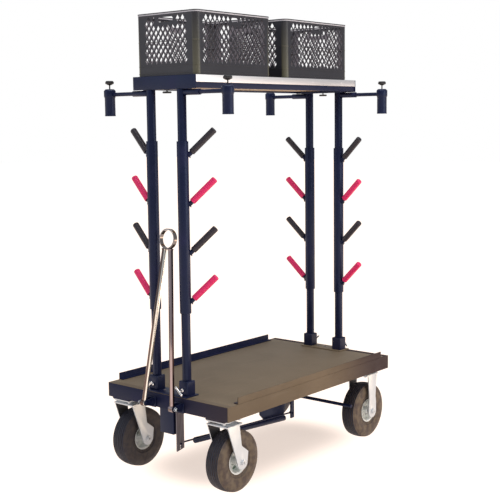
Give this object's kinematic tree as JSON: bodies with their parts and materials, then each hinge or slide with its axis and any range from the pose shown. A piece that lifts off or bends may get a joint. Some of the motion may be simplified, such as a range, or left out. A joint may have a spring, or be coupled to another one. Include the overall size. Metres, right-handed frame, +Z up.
{
  "type": "utility cart",
  "caption": "Four-wheeled steel deck cart with two post frames, swivelling hanger sleeves, a crate shelf, sliding receiver arms, a folding tow bar and a linked wheel brake.",
  "frame": {"origin": "centre of the bounding box on the floor, below the middle of the deck", "axes": "+Z up; -Y towards the tow bar, which is the cart's front; +X to the right as seen by someone facing the tow bar"},
  "size_m": [0.723, 1.267, 1.9723],
  "materials": {
    "black_paint": "satin black powder coat",
    "deck_paint": "ply deck board with a matt textured olive grey coat",
    "bright_zinc": "bright zinc plate",
    "chrome": "polished chrome plate",
    "aluminium": "clear anodised strip",
    "rim_paint": "silver grey paint",
    "tyre_rubber": "black ribbed rubber",
    "grip_vinyl": "dipped vinyl, red and black by turns, on a black steel sleeve",
    "knob_plastic": "moulded black plastic",
    "crate_plastic": "moulded dark grey plastic",
    "plywood": "plain birch plywood"
  },
  "bodies": {
    "cart": {"deck_frame": "black_paint", "deck_panel": "deck_paint", "left_rail": "black_paint", "right_rail": "black_paint", "front_socket_bar": "black_paint", "rear_socket_bar": "black_paint", "front_post_frame": "black_paint", "rear_post_frame": "black_paint", "shelf_frame": "black_paint", "left_shelf_strip": "aluminium", "right_shelf_strip": "aluminium", "shelf_floor": "plywood", "left_tow_bracket": "black_paint", "right_tow_bracket": "black_paint", "brake_block": "black_paint", "guide_tube": "black_paint", "front_left_caster_plate": "bright_zinc", "front_right_caster_plate": "bright_zinc", "rear_left_fork": "bright_zinc", "rear_right_fork": "bright_zinc"},
    "tow_handle": {"tow_bar": "chrome"},
    "front_brake_lever": {"brake_lever": "black_paint"},
    "brake_link": {"brake_rod": "black_paint"},
    "brake_rocker": {"brake_shaft": "black_paint"},
    "front_crate_body": {"front_crate": "crate_plastic"},
    "rear_crate_body": {"rear_crate": "crate_plastic"},
    "front_shelf_screw": {"front_shelf_knob": "knob_plastic"},
    "rear_shelf_screw": {"rear_shelf_knob": "knob_plastic"},
    "front_left_screw": {"front_left_clamp": "chrome"},
    "front_left_hanger": {"front_left_sleeve": "grip_vinyl"},
    "front_left_outrigger": {"front_left_arm": "black_paint", "front_left_receiver": "black_paint"},
    "front_left_receiver_screw": {"front_left_knob": "knob_plastic"},
    "front_right_screw": {"front_right_clamp": "chrome"},
    "front_right_hanger": {"front_right_sleeve": "grip_vinyl"},
    "front_right_outrigger": {"front_right_arm": "black_paint", "front_right_receiver": "black_paint"},
    "front_right_receiver_screw": {"front_right_knob": "knob_plastic"},
    "rear_left_screw": {"rear_left_clamp": "chrome"},
    "rear_left_hanger": {"rear_left_sleeve": "grip_vinyl"},
    "rear_left_outrigger": {"rear_left_arm": "black_paint", "rear_left_receiver": "black_paint"},
    "rear_left_receiver_screw": {"rear_left_knob": "knob_plastic"},
    "rear_right_screw": {"rear_right_clamp": "chrome"},
    "rear_right_hanger": {"rear_right_sleeve": "grip_vinyl"},
    "rear_right_outrigger": {"rear_right_arm": "black_paint", "rear_right_receiver": "black_paint"},
    "rear_right_receiver_screw": {"rear_right_knob": "knob_plastic"},
    "front_left_caster": {"front_left_fork": "bright_zinc"},
    "front_right_caster": {"front_right_fork": "bright_zinc"},
    "front_left_wheel": {"front_left_rim": "rim_paint", "front_left_tyre": "tyre_rubber"},
    "front_right_wheel": {"front_right_rim": "rim_paint", "front_right_tyre": "tyre_rubber"},
    "rear_left_wheel": {"rear_left_rim": "rim_paint", "rear_left_tyre": "tyre_rubber"},
    "rear_right_wheel": {"rear_right_rim": "rim_paint", "rear_right_tyre": "tyre_rubber"}
  },
  "joints": [
    {"name": "front_left_clamp_turn", "type": "hinge", "parent": "cart", "child": "front_left_screw", "pos_m": [-0.0875, -0.558, 0.4163], "axis": [0, 1, 0], "continuous": true},
    {"name": "front_left_sleeve_swing", "type": "hinge", "parent": "cart", "child": "front_left_hanger", "pos_m": [-0.0875, -0.533, 1], "axis": [0, 0, 1], "range_deg": [-80, 95]},
    {"name": "front_left_arm_slide", "type": "slide", "parent": "cart", "child": "front_left_outrigger", "axis": [-1, 0, 0], "range_m": [-0.035, 0.045]},
    {"name": "front_left_knob_turn", "type": "hinge", "parent": "front_left_outrigger", "child": "front_left_receiver_screw", "pos_m": [-0.336, -0.533, 1.6876], "axis": [0, 0, 1], "continuous": true},
    {"name": "front_right_clamp_turn", "type": "hinge", "parent": "cart", "child": "front_right_screw", "pos_m": [0.0875, -0.558, 0.4163], "axis": [0, 1, 0], "continuous": true},
    {"name": "front_right_sleeve_swing", "type": "hinge", "parent": "cart", "child": "front_right_hanger", "pos_m": [0.0875, -0.533, 1], "axis": [0, 0, 1], "range_deg": [-115, 50]},
    {"name": "front_right_arm_slide", "type": "slide", "parent": "cart", "child": "front_right_outrigger", "axis": [1, 0, 0], "range_m": [-0.035, 0.045]},
    {"name": "front_right_knob_turn", "type": "hinge", "parent": "front_right_outrigger", "child": "front_right_receiver_screw", "pos_m": [0.336, -0.533, 1.6876], "axis": [0, 0, 1], "continuous": true},
    {"name": "rear_left_clamp_turn", "type": "hinge", "parent": "cart", "child": "rear_left_screw", "pos_m": [-0.0875, 0.597, 0.4163], "axis": [0, 1, 0], "continuous": true},
    {"name": "rear_left_sleeve_swing", "type": "hinge", "parent": "cart", "child": "rear_left_hanger", "pos_m": [-0.0875, 0.572, 1], "axis": [0, 0, 1], "range_deg": [-95, 80]},
    {"name": "rear_left_arm_slide", "type": "slide", "parent": "cart", "child": "rear_left_outrigger", "axis": [-1, 0, 0], "range_m": [-0.035, 0.045]},
    {"name": "rear_left_knob_turn", "type": "hinge", "parent": "rear_left_outrigger", "child": "rear_left_receiver_screw", "pos_m": [-0.336, 0.572, 1.6876], "axis": [0, 0, 1], "continuous": true},
    {"name": "rear_right_clamp_turn", "type": "hinge", "parent": "cart", "child": "rear_right_screw", "pos_m": [0.0875, 0.597, 0.4163], "axis": [0, 1, 0], "continuous": true},
    {"name": "rear_right_sleeve_swing", "type": "hinge", "parent": "cart", "child": "rear_right_hanger", "pos_m": [0.0875, 0.572, 1], "axis": [0, 0, 1], "range_deg": [-80, 90]},
    {"name": "rear_right_arm_slide", "type": "slide", "parent": "cart", "child": "rear_right_outrigger", "axis": [1, 0, 0], "range_m": [-0.035, 0.045]},
    {"name": "rear_right_knob_turn", "type": "hinge", "parent": "rear_right_outrigger", "child": "rear_right_receiver_screw", "pos_m": [0.336, 0.572, 1.6876], "axis": [0, 0, 1], "continuous": true},
    {"name": "front_shelf_knob_turn", "type": "hinge", "parent": "cart", "child": "front_shelf_screw", "pos_m": [0, -0.5265, 1.6587], "axis": [0, 0, 1], "continuous": true},
    {"name": "rear_shelf_knob_turn", "type": "hinge", "parent": "cart", "child": "rear_shelf_screw", "pos_m": [0, 0.5655, 1.6587], "axis": [0, 0, 1], "continuous": true},
    {"name": "front_crate_lift", "type": "slide", "parent": "cart", "child": "front_crate_body", "axis": [0, 0, 1], "range_m": [0, 0.06]},
    {"name": "rear_crate_lift", "type": "slide", "parent": "cart", "child": "rear_crate_body", "axis": [0, 0, 1], "range_m": [0, 0.06]},
    {"name": "tow_bar_fold", "type": "hinge", "parent": "cart", "child": "tow_handle", "pos_m": [0, -0.6205, 0.349], "axis": [1, 0, 0], "range_deg": [0, 110]},
    {"name": "brake_lever_pull", "type": "hinge", "parent": "cart", "child": "front_brake_lever", "pos_m": [0.055, -0.5465, 0.345], "axis": [1, 0, 0], "range_deg": [0, 5.5]},
    {"name": "brake_rod_pin", "type": "hinge", "parent": "front_brake_lever", "child": "brake_link", "pos_m": [0.0465, -0.5465, 0.178], "axis": [1, 0, 0], "range_deg": [-6, 0.5]},
    {"name": "brake_shaft_turn", "type": "hinge", "parent": "cart", "child": "brake_rocker", "pos_m": [0, 0.229, 0.304], "axis": [1, 0, 0], "range_deg": [-0.5, 6]},
    {"name": "front_left_caster_swivel", "type": "hinge", "parent": "cart", "child": "front_left_caster", "pos_m": [-0.2755, -0.513, 0.3], "axis": [0, 0, 1], "continuous": true},
    {"name": "front_right_caster_swivel", "type": "hinge", "parent": "cart", "child": "front_right_caster", "pos_m": [0.2755, -0.513, 0.3], "axis": [0, 0, 1], "continuous": true},
    {"name": "front_left_wheel_roll", "type": "hinge", "parent": "front_left_caster", "child": "front_left_wheel", "pos_m": [-0.2755, -0.469, 0.132], "axis": [1, 0, 0], "continuous": true},
    {"name": "front_right_wheel_roll", "type": "hinge", "parent": "front_right_caster", "child": "front_right_wheel", "pos_m": [0.2755, -0.469, 0.132], "axis": [1, 0, 0], "continuous": true},
    {"name": "rear_left_wheel_roll", "type": "hinge", "parent": "cart", "child": "rear_left_wheel", "pos_m": [-0.2755, 0.5025, 0.132], "axis": [1, 0, 0], "continuous": true},
    {"name": "rear_right_wheel_roll", "type": "hinge", "parent": "cart", "child": "rear_right_wheel", "pos_m": [0.2755, 0.5025, 0.132], "axis": [1, 0, 0], "continuous": true}
  ],
  "couplings": [
    {"joint": "brake_rod_pin", "follows": "brake_lever_pull", "ratio": -1},
    {"joint": "brake_shaft_turn", "follows": "brake_lever_pull", "ratio": 1}
  ]
}
